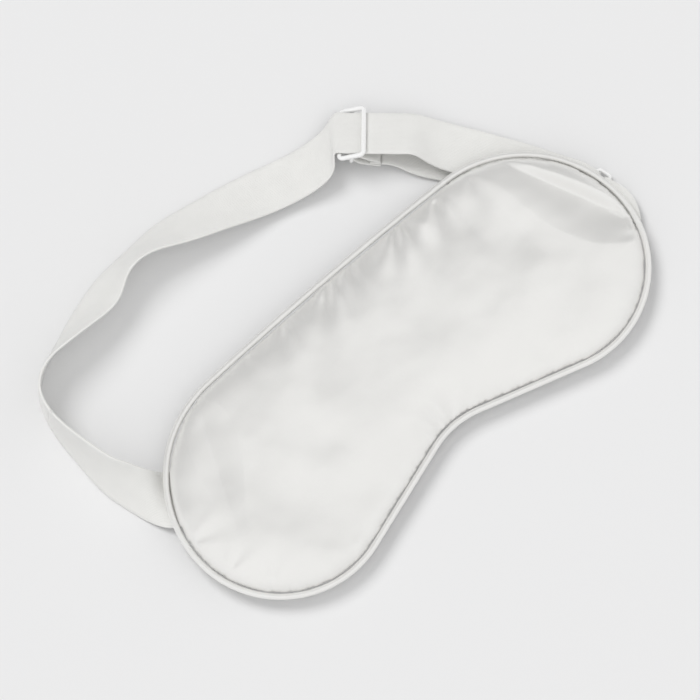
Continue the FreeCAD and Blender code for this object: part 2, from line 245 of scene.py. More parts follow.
IVORY = (0.885, 0.88, 0.86)
SATIN = satin_material("ivory_satin", IVORY)
PIPING_SATIN = satin_material("piping_satin", IVORY, weave_turn=45)
ELASTIC = elastic_material("plush_elastic", (0.83, 0.827, 0.805))
THREAD = thread_material("sewing_thread", (0.86, 0.85, 0.81))
ENAMEL = enamel_material("white_enamel", (0.94, 0.94, 0.935))
LINING = plain_cloth_material("blackout_lining", (0.05, 0.05, 0.055), 2.5)
CORD = plain_cloth_material("cotton_cord", (0.8, 0.79, 0.75), 3.0)


def dress(piece, material):
    piece.data.materials.clear()
    piece.data.materials.append(material)
    return piece


# ---------------------------------------------------------------- meshes

def mesh_object(name, points, faces):
    """A smooth mesh object from points in millimetres."""
    mesh = bpy.data.meshes.new(name)
    mesh.from_pydata([tuple(Vector(point) * MM) for point in points], [], faces)
    mesh.validate()
    mesh.update()
    mesh.shade_smooth()
    piece = bpy.data.objects.new(name, mesh)
    bpy.context.scene.collection.objects.link(piece)
    return piece


def bake_modifiers(piece):
    """Replaces the piece's mesh by what its modifiers make of it now."""
    evaluated = piece.evaluated_get(bpy.context.evaluated_depsgraph_get())
    result = bpy.data.meshes.new_from_object(evaluated)
    piece.modifiers.clear()
    piece.data = result
    piece.data.shade_smooth()


def subdivide(piece, levels):
    modifier = piece.modifiers.new("smooth", "SUBSURF")
    modifier.levels = levels
    modifier.render_levels = levels
    bake_modifiers(piece)


def get_points(piece):
    points = np.zeros(len(piece.data.vertices) * 3, np.float32)
    piece.data.vertices.foreach_get("co", points)
    return points.reshape(-1, 3) / MM


def set_points(piece, points):
    piece.data.vertices.foreach_set("co", (np.asarray(points) * MM).astype(np.float32).ravel())
    piece.data.update()


def tube(name, sections, closed):
    """A tube through rings of points, with a flat cap at each end unless it is closed."""
    ring = len(sections[0])
    points = [point for section in sections for point in section]
    faces = []
    rows = len(sections)
    for row in range(rows if closed else rows - 1):
        here = row * ring
        there = (row + 1) % rows * ring
        for column in range(ring):
            after = (column + 1) % ring
            faces.append((here + column, here + after, there + after, there + column))
    if not closed:
        last = (rows - 1) * ring
        faces.append(tuple(reversed(range(ring))))
        faces.append(tuple(range(last, last + ring)))
    piece = mesh_object(name, points, faces)
    if not closed:
        for cap in piece.data.polygons[-2:]:
            cap.use_smooth = False
    return piece


# ---------------------------------------------------------------- the mask's outline

def outline_arcs():
    """The right half of the piping's outside, from the forehead to the nose."""
    upper = Vector((TIP_X - UPPER_RADIUS, TIP_Y, 0))
    lower = Vector((TIP_X - LOWER_RADIUS, TIP_Y, 0))
    nose = Vector((0, NOSE_Y - NOSE_RADIUS, 0))
    rise = CROWN_Y - upper.y
    crown_radius = (upper.x ** 2 + rise ** 2 - UPPER_RADIUS ** 2) / (2 * (rise - UPPER_RADIUS))
    crown = Vector((0, CROWN_Y - crown_radius, 0))
    crown_angle = math.degrees(math.atan2(upper.y - crown.y, upper.x))
    apart = nose - lower
    swing = math.acos((LOWER_RADIUS + NOSE_RADIUS) / apart.length)
    cheek_angle = math.degrees(math.atan2(apart.y, apart.x) + swing)
    return [
        (crown, crown_radius, 90, crown_angle, 1),
        (upper, UPPER_RADIUS, crown_angle, 0, 1),
        (lower, LOWER_RADIUS, 0, cheek_angle, 1),
        (nose, NOSE_RADIUS, cheek_angle + 180, 90, -1),
    ]


def outline_points(count):
    """Evenly spaced points on the piping's outside, each with its outward direction."""
    dense = []
    steps = 300
    for centre, radius, start, end, side in outline_arcs():
        for step in range(steps + 1):
            way = heading(start + (end - start) * step / steps)
            dense.append((centre + way * radius, way * side))
    for point, out in list(reversed(dense)):
        dense.append((Vector((-point.x, point.y, 0)), Vector((-out.x, out.y, 0))))
    run = [0.0]
    for (here, _), (there, _) in zip(dense, dense[1:]):
        run.append(run[-1] + (there - here).length)
    spots = np.linspace(0, run[-1], count, endpoint=False)
    xs = np.interp(spots, run, [point.x for point, _ in dense])
    ys = np.interp(spots, run, [point.y for point, _ in dense])
    out_xs = np.interp(spots, run, [out.x for _, out in dense])
    out_ys = np.interp(spots, run, [out.y for _, out in dense])
    edge = []
    for x, y, out_x, out_y in zip(xs, ys, out_xs, out_ys):
        edge.append((Vector((x, y, 0)), Vector((out_x, out_y, 0)).normalized()))
    return edge


def seam_distances(points):
    """How far inside the panel's seam each point lies."""
    seam = np.array([(edge - out * SEAM_INSET).xy for edge, out in outline_points(SEAM_SAMPLES)])
    flat = np.asarray(points)[:, :2]
    distances = np.empty(len(flat))
    block = 2000
    for start in range(0, len(flat), block):
        apart = flat[start:start + block, None, :] - seam[None, :, :]
        distances[start:start + block] = np.sqrt((apart ** 2).sum(axis=2).min(axis=1))
    return distances


# ---------------------------------------------------------------- the padded body

PAD_SPACING = 2.3
PAD_TOP = 6.1
PAD_SHOULDER = 22.0
SEAM_POINTS = 230
SEAM_SAMPLES = 900
HALF_LENGTH = 110
HALF_HEIGHT = 50
PUFF_LIMIT = 1.6
CLOTH_FRAMES = 24
CALM_ROUNDS = 14


def flat_pattern(spacing):
    """A triangle mesh inside the seam: its points, its faces and how many points are on the seam."""
    seam = [(edge - out * SEAM_INSET).xy for edge, out in outline_points(SEAM_POINTS)]
    points = list(seam)
    row = 0
    y = -HALF_HEIGHT
    while y < HALF_HEIGHT:
        x = -HALF_LENGTH + (spacing / 2 if row % 2 else 0)
        while x < HALF_LENGTH:
            points.append(Vector((x, y)))
            x += spacing
        y += spacing * math.sqrt(3) / 2
        row += 1
    keep = seam_distances([(point.x, point.y, 0) for point in points]) > spacing * 0.55
    points = [point for index, point in enumerate(points) if index < len(seam) or keep[index]]
    count = len(seam)
    edges = [(index, (index + 1) % count) for index in range(count)]
    made = delaunay_2d_cdt(points, edges, [], 1, 1e-5)
    used = sorted({index for face in made[2] for index in face})
    place = {index: order for order, index in enumerate(used)}
    faces = [tuple(place[index] for index in face) for face in made[2]]
    return [made[0][index] for index in used], faces, count


def crown(distance, top, shoulder):
    """Height of a stuffed panel: steep at its seam, flat beyond the shoulder."""
    share = np.clip(distance / shoulder, 0, 1)
    return top * (1 - (1 - share) ** 3) ** 0.6


def make_pad():
    """The stuffed body: front and back panels joined at the seam."""
    flat, faces, count = flat_pattern(PAD_SPACING)
    flat = [Vector((point[0], point[1], 0)) for point in flat]
    depth = seam_distances(flat)
    depth[:count] = 0
    front = [Vector((p.x, p.y, SEAM_Z + z)) for p, z in zip(flat, crown(depth, PAD_TOP, PAD_SHOULDER))]
    back_rise = np.clip(depth / 5.0, 0, 1)
    back = [Vector((p.x, p.y, SEAM_Z * (1 - r) ** 2 + 0.02)) for p, r in zip(flat, back_rise)]
    points = front + back[count:]
    shift = len(front) - count
    faces = [face if face_is_up(face, flat) else tuple(reversed(face)) for face in faces]
    under = []
    for face in faces:
        under.append(tuple(index if index < count else index + shift for index in reversed(face)))
    pad = mesh_object("padded_body", points, faces + under)
    held = list(range(count)) + list(range(len(front), len(points)))
    inflate(pad, held)
    subdivide(pad, 2)
    sculpt(pad)
    return pad


def face_is_up(face, flat):
    a, b, c = (flat[index] for index in face[:3])
    return (b - a).cross(c - a).z > 0


def inflate(pad, held):
    """Puffs the front panel up as cloth, with the seam and the back held."""
    start = get_points(pad)
    group = pad.vertex_groups.new(name="held")
    group.add(held, 1.0, "REPLACE")
    modifier = pad.modifiers.new("cloth", "CLOTH")
    cloth = modifier.settings
    cloth.quality = 6
    cloth.mass = 0.12
    cloth.tension_stiffness = 12
    cloth.compression_stiffness = 12
    cloth.shear_stiffness = 4
    cloth.bending_stiffness = 0.03
    cloth.use_pressure = True
    cloth.uniform_pressure_force = 4
    cloth.vertex_group_mass = "held"
    cloth.shrink_min = -0.025
    cloth.effector_weights.gravity = 0
    modifier.collision_settings.use_collision = False
    modifier.point_cache.frame_start = 1
    modifier.point_cache.frame_end = CLOTH_FRAMES
    scene = bpy.context.scene
    for step in range(1, CLOTH_FRAMES + 1):
        scene.frame_set(step)
    bake_modifiers(pad)
    pad.vertex_groups.clear()
    moved = get_points(pad)
    shift = moved - start
    length = np.linalg.norm(shift, axis=1, keepdims=True)
    shift *= np.minimum(1, PUFF_LIMIT / np.maximum(length, 1e-6))
    set_points(pad, start + shift)
    calm(pad, held)
    scene.frame_set(1)


def calm(pad, held):
    """Smooths the small buckles out of the middle of the front and leaves those by the seam."""
    points = get_points(pad)
    edges = np.array([edge.vertices[:] for edge in pad.data.edges])
    neighbours = np.bincount(edges.ravel(), minlength=len(points))
    share = 0.15 + 0.85 * np.clip((seam_distances(points) - 3) / 12, 0, 1)
    share[held] = 0
    for _ in range(CALM_ROUNDS):
        total = np.zeros_like(points)
        np.add.at(total, edges[:, 0], points[edges[:, 1]])
        np.add.at(total, edges[:, 1], points[edges[:, 0]])
        mean = total / neighbours[:, None]
        points += (mean - points) * (share * 0.6)[:, None]
    set_points(pad, points)


# gathers along the seam: where they start, the way they run, length, width and depth
GATHERS = [
    (-22.6, 45.0, -128, 12, 1.9, 1.3),
    (-19.5, 45.0, -108, 10, 2.6, 1.0),
    (0.6, 45.0, -131, 16, 2.2, 2.1),
    (4.4, 44.8, -112, 14, 2.6, 1.1),
    (11.0, 44.0, -118, 17, 2.8, 1.3),
    (33.1, 43.0, -128, 15, 2.3, 2.0),
    (36.4, 42.6, -95, 15, 3.6, 1.5),
    (51.1, 41.0, -122, 18, 3.6, 2.0),
    (-42.0, 43.0, -115, 9, 2.4, 0.4),
    (66.0, 38.5, -105, 12, 3.5, 0.7),
    (20.0, 44.0, -120, 8, 2.0, 0.4),
    (-3.5, -26.0, 100, 13, 2.6, 0.9),
    (2.0, -26.0, 75, 10, 2.6, 0.7),
    (-9.0, -27.0, 125, 9, 2.4, 0.5),
    (-100.5, 2.0, -18, 14, 3.0, 0.35),
    (-97.0, -14.0, 15, 10, 2.6, 0.4),
    (-89.0, -27.0, 40, 9, 2.6, 0.4),
    (-60.0, -42.0, 80, 9, 3.0, 0.4),
    (98.5, -18.0, 150, 10, 2.6, 0.4),
    (76.0, -42.0, 110, 10, 3.0, 0.5),
    (45.0, -38.0, 95, 9, 3.0, 0.4),
]

# broad hollows in the stuffing: deepest spot, direction of the long axis, half length,
# half width on the right and on the left of that direction, depth
HOLLOWS = [
    (-39.0, -2.0, -74, 16, 12.0, 7.0, 1.6),
    (53.2, 27.5, -94, 12, 9.0, 5.0, 2.2),
    (66.5, 11.0, -91, 12, 8.0, 5.0, 1.4),
    (58.0, 6.0, -100, 16, 8.0, 8.0, 0.6),
    (-40.0, -22.0, 20, 16, 8.0, 8.0, 0.5),
    (18.0, 8.0, -80, 18, 9.0, 9.0, 0.4),
    (-24.0, 22.0, -118, 12, 6.0, 6.0, 0.6),
]


# folds pressed into the stuffing: valley, its direction, reach behind and ahead of that spot,
# width of the long slope on the right and of the steep one on the left, depth
PRESSED_FOLDS = [
    (93.0, 6.5, -65, 27, 23, 16.0, 4.5, 4.7),
    (-74.6, 23.2, 66, 20, 19, 10.5, 8.0, 2.7),
]


RIM_HEIGHT = 0.45
RIM_DISTANCE = 1.9
CREASE_HEIGHT = 0.45
LEAST_STUFFING = 0.25


def press_gathers(points, drop):
    """Adds the gathers: grooves that run in from the seam between two low rims."""
    for x, y, way, length, width, deep in GATHERS:
        along, across = local(points, x, y, way)
        start = 0.5 + 0.5 * np.tanh((along + 0.5) / 1.6)
        fade = np.exp(-(np.maximum(along, 0) / length) ** 2)
        spread = width * (0.45 + 0.9 * np.clip(along / length, 0, 1.6))
        from_rim = (np.abs(across) - RIM_DISTANCE * spread) / spread
        valley = np.exp(-(across / spread) ** 2) - RIM_HEIGHT * np.exp(-from_rim ** 2)
        drop += deep * start * fade * valley


def press_hollows(points, drop):
    for x, y, way, half_length, right_width, left_width, deep in HOLLOWS:
        along, across = local(points, x, y, way)
        half_width = np.where(across < 0, right_width, left_width)
        drop += deep * np.exp(-(along / half_length) ** 2 - (across / half_width) ** 2)


def press_folds(points, drop):
    """Adds the folds: a long slope down to a valley line and a steep rise behind it."""
    for x, y, way, behind, ahead, slope_width, steep_width, deep in PRESSED_FOLDS:
        along, across = local(points, x, y, way)
        fade = np.where(along < 0, np.exp(-(along / behind) ** 2), np.exp(-(along / ahead) ** 4))
        width = np.where(across < 0, slope_width, steep_width) * (0.4 + 0.6 * fade)
        tent = np.clip(1 - np.abs(across) / width, 0, 1)
        profile = 0.6 * tent + 0.4 * tent * tent * (3 - 2 * tent)
        drop += deep * fade * profile


def sculpt(pad):
    """Presses gathers, hollows and folds into the front, and light creases into the back."""
    points = get_points(pad)
    depth = seam_distances(points)
    on_front = points[:, 2] > SEAM_Z + 0.02
    drop = np.zeros(len(points))
    press_gathers(points, drop)
    press_hollows(points, drop)
    press_folds(points, drop)
    ripple = np.zeros(len(points))
    creases = np.zeros(len(points))
    for index, (x, y, z) in enumerate(points):
        spot = Vector((x, y, 0))
        ripple[index] = noise.noise(spot / 17) * 0.55 + noise.noise(spot / 6.5) * 0.12
        creases[index] = abs(noise.noise(spot / 14 + Vector((0, 0, 9))))
    edge_fade = np.clip(depth / 6.0, 0, 1)
    seam_fade = np.clip(depth / 3.0, 0, 1)
    low_limit = SEAM_Z + LEAST_STUFFING + np.clip(depth / 4.0, 0, 1)
    z = points[:, 2]
    lowered = np.maximum(z - drop * seam_fade + ripple * edge_fade, np.minimum(z, low_limit))
    raised = z + creases * CREASE_HEIGHT * edge_fade
    points[:, 2] = np.where(on_front, lowered, np.minimum(raised, SEAM_Z))
    set_points(pad, points)


def local(points, x, y, way):
    """Distances of points from a spot, along a direction and across it."""
    ahead = heading(way)
    off_x = points[:, 0] - x
    off_y = points[:, 1] - y
    return off_x * ahead.x + off_y * ahead.y, off_y * ahead.x - off_x * ahead.y


pad = make_pad()
dress(pad, SATIN)
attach(pad, "mask")
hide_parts("front_cover", "back_cover", "wadding")


# ---------------------------------------------------------------- piping

def make_piping():
    """A cord covered in bias-cut satin: a bead with slanting tension wrinkles."""
    count = 1100
    around = 18
    sections = []
    for edge, out in outline_points(count):
        centre = edge - out * PIPING_RADIUS + UP * SEAM_Z
        section = []
        for step in range(around):
            angle = 2 * math.pi * step / around
            spot = Vector((edge.x, edge.y, 0)) * 0.55 + Vector((0, 0, angle * 0.8))
            slant = noise.noise(spot)
            radius = PIPING_RADIUS * (0.97 + 0.05 * slant)
            section.append(centre + (out * math.cos(angle) + UP * math.sin(angle)) * radius)
        sections.append(section)
    return tube("piping_bead", sections, closed=True)


piping = make_piping()
dress(piping, PIPING_SATIN)
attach(piping, "mask")
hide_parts("piping_cover")


# ---------------------------------------------------------------- strap places

def lie(x, y, bearing, lean, lift=0.0):
    """Both edges of the strap where its outer edge rests on, or is lifted off, the table."""
    tilt = math.radians(lean)
    rest = STRAP_THICKNESS / 2 * math.cos(tilt) + 0.05
    outer = Vector((x, y, TABLE_Z + rest + lift))
    across = heading(bearing) * math.cos(tilt) + UP * math.sin(tilt)
    return outer, outer + across * STRAP_WIDTH


def edge_pair(outer, inner):
    """Both edges of the strap, given with heights above the table."""
    return Vector(outer) + UP * TABLE_Z, Vector(inner) + UP * TABLE_Z


RUN = heading(SLIDER_HEADING)
ACROSS = heading(SLIDER_HEADING - 90) * math.cos(math.radians(SLIDER_LEAN))
ACROSS = ACROSS + UP * math.sin(math.radians(SLIDER_LEAN))
OUTWARD = ACROSS.cross(RUN)
SLIDER_ORIGIN = Vector((SLIDER_X, SLIDER_Y, TABLE_Z + SLIDER_LIFT))
CENTRE_BAR = -(STRAP_THICKNESS / 2 + FIT + BAR_DIAMETER / 2) - STRAP_THICKNESS - BAR_PLAY


def at_slider(along, outward, across=0.0):
    return SLIDER_ORIGIN + RUN * along + OUTWARD * outward + ACROSS * across


def slider_place(along, outward=0.0):
    return at_slider(along, outward), at_slider(along, outward, STRAP_WIDTH)


def turning_place(along, outward, lean):
    """A place whose outer edge is near the slider and whose inner edge leans up from flat by lean."""
    outer = at_slider(along, outward)
    tilt = math.radians(lean)
    across = heading(SLIDER_HEADING - 90) * math.cos(tilt) + UP * math.sin(tilt)
    return outer, outer + across * STRAP_WIDTH


RING_RUN = heading(90 + RING_TURN)
RING_ACROSS = heading(180 + RING_TURN)
STRAP_TOP_Z = -HANG_GAP
LOOP_CENTRE_Z = STRAP_TOP_Z - STRAP_THICKNESS - LOOP_HOLLOW
LOOP_RADIUS = LOOP_HOLLOW + STRAP_THICKNESS / 2


def at_ring(along, z, across=0.0):
    return Vector((RING_EDGE_X, 0, z)) + RING_RUN * along + RING_ACROSS * across


def ring_place(along, z):
    return at_ring(along, z), at_ring(along, z, STRAP_WIDTH)


HANG = STRAP_TOP_Z - STRAP_THICKNESS / 2 - TABLE_Z
LEFT_RISE = [
    edge_pair((-102.4, 11.8, HANG), (-91.4, 29.8, HANG)),
    edge_pair((-104.6, 13.6, 3.2), (-93.3, 31.6, 4.5)),
    edge_pair((-107.3, 18.0, 1.6), (-95.6, 33.0, 9.0)),
    edge_pair((-109.6, 24.2, 0.6), (-97.9, 35.3, 12.6)),
    edge_pair((-111.6, 31.0, 0.4), (-100.0, 38.2, 14.3)),
    edge_pair((-113.2, 37.5, 0.4), (-101.7, 41.0, 15.6)),
]
SIDE_BEND = [
    lie(-113.8, 43, 3, 57),
    lie(-113.6, 53, -1, 69),
    lie(-113.2, 64, -6, 78),
    lie(-111.6, 74, -20, 85),
    lie(-107.5, 83.5, -36, 88),
    lie(-100.5, 90, -54, 83),
    lie(-91, 94, -67, 73),
]
BACK_RUN = [
    lie(-81, 98, -69, 58),
    lie(-72, 101, -73, 47),
    lie(-63, 103.2, -81, 47),
    lie(-54, 103.9, -87, 60),
    lie(-45, 104.3, -86, 61),
    lie(-35, 104.8, -93, 49),
    lie(-24, 103.6, -99, 37),
    lie(-12, 101.3, -103, 28),
]
SLIDER_RUN = [
    lie(0, 98.7, -103, 17),
    lie(12, 95.5, -106, 11),
    lie(24, 92.2, -107, 14, 0.4),
    lie(34, 90.6, -112, 18, 1.7),
    lie(41, 91.0, -122, 21, 3.0),
]
OUTER_RUN = [
    lie(72.6, 66.6, -137, 14, 2.8),
    lie(79.0, 57.5, -142, 5, 1.8),
    lie(87.0, 45.7, -145, 1, 1.4),
    lie(95.0, 33.0, -150, 0, 1.4),
    lie(101.2, 21.8, -158, 0, 2.3),
]
INNER_RUN = [
    lie(66.0, 70.0, -136, 5, 0.4),
    lie(74.0, 59.0, -141, 1, 0.1),
    lie(84.0, 45.2, -145, 0, 0.1),
    lie(93.2, 32.6, -150, 0, 0.1),
    lie(100.4, 21.6, -158, 0, 0.1),
]


def straight_places():
    start = -BAR_SPACING - 1.5
    end = FOLD_END + SLIDER_TRAVEL + 1
    steps = 8
    return [slider_place(start + (end - start) * step / steps) for step in range(steps + 1)]


def ring_places(z):
    return [ring_place(STRAP_BAR + extra, z) for extra in (4, 2, 0)]


# ---------------------------------------------------------------- ribbons

SPLIT_PLACE = 3
TUCK = 1.5
TUCK_SHARE = 0.9


def spline(knots, values, at):
    """A smooth curve through values at knots, read at the parameters in at."""
    knots = np.asarray(knots, float)
    values = np.asarray(values, float)
    steps = np.diff(knots)
    slopes = np.diff(values, axis=0) / steps[:, None]
    size = len(knots)
    system = np.zeros((size, size))
    target = np.zeros_like(values)
    system[0, 0] = system[-1, -1] = 1
    system[0, 1] = system[-1, -2] = -1
    for index in range(1, size - 1):
        system[index, index - 1] = steps[index - 1]
        system[index, index] = 2 * (steps[index - 1] + steps[index])
        system[index, index + 1] = steps[index]
        target[index] = 6 * (slopes[index] - slopes[index - 1])
    bends = np.linalg.solve(system, target)
    at = np.asarray(at, float)
    index = np.clip(np.searchsorted(knots, at) - 1, 0, size - 2)
    width = steps[index][:, None]
    right = (at - knots[index])[:, None] / width
    left = 1 - right
    curve = left * values[index] + right * values[index + 1]
    curve += width ** 2 / 6 * ((left ** 3 - left) * bends[index] + (right ** 3 - right) * bends[index + 1])
    return curve


def strap_profile(width, thickness):
    """Across and outward places round a woven strap's section, with rounded selvedges."""
    across_steps = 14
    half = thickness / 2
    top = []
    for step in range(across_steps + 1):
        share = step / across_steps
        across = half * 0.55 + (width - half * 1.1) * share
        selvedge = math.exp(-((min(across, width - across) - 0.9) / 0.5) ** 2)
        top.append((across, half * (0.92 + 0.08 * selvedge)))
    far_side = [(width - half * 0.12, half * 0.62), (width, 0), (width - half * 0.12, -half * 0.62)]
    bottom = [(across, -out) for across, out in reversed(top)]
    near_side = [(half * 0.12, -half * 0.62), (0, 0), (half * 0.12, half * 0.62)]
    return top + far_side + bottom + near_side


def ribbon(name, places, spacing=1.0, thickness=STRAP_THICKNESS, cut=None, knots=None, tuck=0):
    """A strap through places, each an outer and an inner edge point.  cut keeps a share of it.
    Its first millimetres, as many as tuck, are thinner so that they hide in the piece before."""
    middles = [(outer + inner) / 2 for outer, inner in places]
    if knots is None:
        knots = [0.0]
        for before, after in zip(middles, middles[1:]):
            knots.append(knots[-1] + (after - before).length)
    first, last = cut or (knots[0], knots[-1])
    count = max(2, int(round((last - first) / spacing)) + 1)
    at = np.linspace(first, last, count)
    outer = spline(knots, [tuple(place[0]) for place in places], at)
    inner = spline(knots, [tuple(place[1]) for place in places], at)
    middle = (outer + inner) / 2
    along = np.gradient(middle, at, axis=0)
    sections = []
    cloth = []
    for index in range(count):
        near = Vector(outer[index])
        over = Vector(inner[index]) - near
        width = over.length
        over.normalize()
        normal = over.cross(Vector(along[index])).normalized()
        section = []
        hidden = at[index] < first + tuck
        for across, out in strap_profile(STRAP_WIDTH, thickness * (TUCK_SHARE if hidden else 1.0)):
            section.append(near + over * (across * width / STRAP_WIDTH) + normal * out)
            cloth.append((across, at[index], out))
        sections.append(section)
    strap = tube(name, sections, closed=False)
    attribute = strap.data.attributes.new("cloth", "FLOAT_VECTOR", "POINT")
    attribute.data.foreach_set("vector", np.array(cloth, np.float32).ravel())
    return strap


def run_knots(places):
    knots = [0.0]
    for before, after in zip(places, places[1:]):
        step = (after[0] + after[1] - before[0] - before[1]).length / 2
        knots.append(knots[-1] + step)
    return knots


def finish_strap(piece, body, material, nodes):
    dress(piece, material)
    if body:
        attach(piece, body)
    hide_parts(*nodes)


def half_turn(centre_z, along_bar, radius):
    """The places round the ring's bar, from the upper layer to the lower one."""
    places = []
    steps = 10
    for step in range(1, steps):
        angle = math.pi * step / steps
        along = along_bar - radius * math.sin(angle)
        places.append(ring_place(along, centre_z + radius * math.cos(angle)))
    return places


def make_long_strap():
    """The strap from the mask's left end round to the ring and its turn there.
    The left end is a piece of its own because it bends where the strap swings."""
    sewn = [
        edge_pair((-94.6, 6.8, HANG + 0.25), (-83.6, 24.8, HANG + 0.25)),
        edge_pair((-98.5, 9.3, HANG + 0.2), (-87.5, 27.3, HANG + 0.2)),
    ]
    turn = half_turn(LOOP_CENTRE_Z, STRAP_BAR, LOOP_RADIUS)
    upper = ring_places(STRAP_TOP_Z - STRAP_THICKNESS / 2)
    lower_end = [ring_place(STRAP_BAR, LOOP_CENTRE_Z - LOOP_RADIUS)]
    places = sewn + LEFT_RISE + SIDE_BEND + BACK_RUN + SLIDER_RUN + straight_places()
    places += OUTER_RUN + upper + turn + lower_end
    knots = run_knots(places)
    split = knots[len(sewn) + len(LEFT_RISE) + SPLIT_PLACE]
    left = ribbon("strap_left", places, cut=(knots[0], split), knots=knots)
    finish_strap(left, None, ELASTIC, ["strap_sewn_end", "strap_left_rise"])
    main = ribbon("strap_main", places, cut=(split - TUCK, knots[-1]), knots=knots, spacing=0.9, tuck=TUCK)
    nodes = ["strap_side_bend", "strap_back_run", "strap_slider_run", "strap_outer_run", "strap_ring_turn"]
    finish_strap(main, "strap", ELASTIC, nodes)
    return left, main


strap_left, strap_main = make_long_strap()
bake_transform(strap_left)


def make_return_strap():
    """The returning half of the strap, under the outer run, from the slider to the ring."""
    lower_z = LOOP_CENTRE_Z - LOOP_RADIUS
    fold_depth = -STRAP_THICKNESS * 3 - FIT
    places = [
        turning_place(FOLD_END + 0.2, fold_depth, FOLD_LEAN),
        turning_place(FOLD_END + 4, fold_depth - 0.1, FOLD_LEAN - 1.5),
    ]
    places += INNER_RUN + ring_places(lower_z)
    strap = ribbon("strap_return", places, knots=run_knots(places))
    finish_strap(strap, "strap", ELASTIC, ["strap_inner_run"])
    return strap


strap_return = make_return_strap()
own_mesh(strap_return)


def make_fold():
    """The strap's end, folded round the slider's centre bar and stitched to itself."""
    radius = BAR_DIAMETER / 2 + BAR_PLAY + STRAP_THICKNESS / 2
    top = CENTRE_BAR + radius
    places = []
    low = CENTRE_BAR + radius - STRAP_THICKNESS * 3
    places.append(turning_place(FOLD_END + 0.2, low, FOLD_LEAN))
    places.append(turning_place(FOLD_END - 3, low, FOLD_LEAN + 1))
    places.append(turning_place(FOLD_START + 0.5, low, FOLD_LEAN + 3))
    places.append(turning_place(FOLD_START * 0.45, CENTRE_BAR - radius - 0.35, SLIDER_LEAN - 5))
    steps = 8
    for step in range(steps + 1):
        angle = math.pi * step / steps
        places.append(slider_place(-radius * math.sin(angle), CENTRE_BAR - radius * math.cos(angle)))
    hem_top = low + STRAP_THICKNESS * 2
    places.append(turning_place(FOLD_START * 0.5, top - 0.3, SLIDER_LEAN - 2))
    places.append(turning_place(FOLD_START + 1.5, hem_top + 0.3, FOLD_LEAN + 4))
    places.append(turning_place(FOLD_END - 2, hem_top, FOLD_LEAN + 2))
    places.append(turning_place(FOLD_END - 0.3, hem_top - 0.2, FOLD_LEAN + 1))
    outside = ribbon("strap_fold", places, knots=run_knots(places), spacing=0.5)
    tuck = []
    for along in (FOLD_START + 1.5, FOLD_START + 3.5, FOLD_END + 0.1):
        tuck.append(turning_place(along, low + STRAP_THICKNESS, FOLD_LEAN + 1.5))
    inside = ribbon("strap_fold_hem", tuck, knots=run_knots(tuck), spacing=0.7)
    return outside, inside


fold, fold_hem = make_fold()
finish_strap(fold, "slider", ELASTIC, ["strap_slider_loop"])
finish_strap(fold_hem, "slider", ELASTIC, [])


def make_tab():
    """The ring's short strap: flat under the mask, round the ring's lower bar and back."""
    top = STRAP_TOP_Z - STRAP_THICKNESS / 2
    far = 14.6
    far_outer = Vector((105.2, -14.4, 0))
    near_outer = Vector((108.2, -8.6, 0))

    def sewn_place(outer, along, z):
        return outer + UP * z, ring_place(along, z)[1]

    upper = [
        sewn_place(far_outer, -far, top + 0.22),
        sewn_place(near_outer, -9, top + 0.2),
        ring_place(-3, top),
        ring_place(TAB_BAR, top),
    ]
    turn = []
    steps = 8
    for step in range(1, steps + 1):
        angle = math.pi * step / steps
        along = TAB_BAR + LOOP_RADIUS * math.sin(angle)
        turn.append(ring_place(along, LOOP_CENTRE_Z + LOOP_RADIUS * math.cos(angle)))
    lower = [
        ring_place(TAB_BAR - 2.6, LOOP_CENTRE_Z - LOOP_RADIUS + 0.55),
        ring_place(TAB_BAR - 5.2, top - STRAP_THICKNESS - 0.15),
        ring_place(-3, top - STRAP_THICKNESS),
        sewn_place(near_outer, -9, top - STRAP_THICKNESS + 0.1),
        sewn_place(far_outer, -far, top - STRAP_THICKNESS + 0.2),
    ]
    places = upper + turn + lower
    return ribbon("ring_tab_cloth", places, knots=run_knots(places), spacing=0.6, thickness=0.96)


tab = make_tab()
finish_strap(tab, None, ELASTIC, ["ring_tab", "tab_sewn_end"])
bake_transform(tab)


# ---------------------------------------------------------------- stitches

STITCH_RADIUS = 0.17
TACK_LENGTH = 15
TACK_REACH = 3
TACK_COUNT = 12
FOLD_STITCHES = 8
HALF_STITCH = 0.85


def stitch_rows(name, stitches, radius):
    """Short stitches, each from one end to the other, bowed out along its normal."""
    points = []
    faces = []
    around = 8
    steps = 6
    for start, end, normal in stitches:
        along = (end - start).normalized()
        side = along.cross(normal).normalized()
        base = len(points)
        for step in range(steps + 1):
            share = step / steps
            bow = math.sin(math.pi * share)
            centre = start.lerp(end, share) + normal * (bow * radius * 0.9 - radius * 0.3)
            size = radius * (0.35 + 0.65 * bow ** 0.5)
            for turn in range(around):
                angle = 2 * math.pi * turn / around
                points.append(centre + (side * math.cos(angle) + normal * math.sin(angle)) * size)
        for step in range(steps):
            for turn in range(around):
                after = (turn + 1) % around
                a = base + step * around
                faces.append((a + turn, a + after, a + around + after, a + around + turn))
        faces.append(tuple(base + turn for turn in reversed(range(around))))
        faces.append(tuple(base + steps * around + turn for turn in range(around)))
    return mesh_object(name, points, faces)


def zigzag(centre, bearing, length, reach, count):
    """A bar tack under a flat strap end."""
    along = heading(bearing)
    side = heading(bearing + 90)
    stitches = []
    for index in range(count):
        here = centre + along * ((index / count - 0.5) * length) + side * (reach / 2)
        there = centre + along * (((index + 0.5) / count - 0.5) * length) - side * (reach / 2)
        after = centre + along * (((index + 1) / count - 0.5) * length) + side * (reach / 2)
        stitches.append((here, there, -UP))
        stitches.append((there, after, -UP))
    return stitches


def finish_stitches(piece, body, nodes):
    dress(piece, THREAD)
    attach(piece, body)
    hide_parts(*nodes)


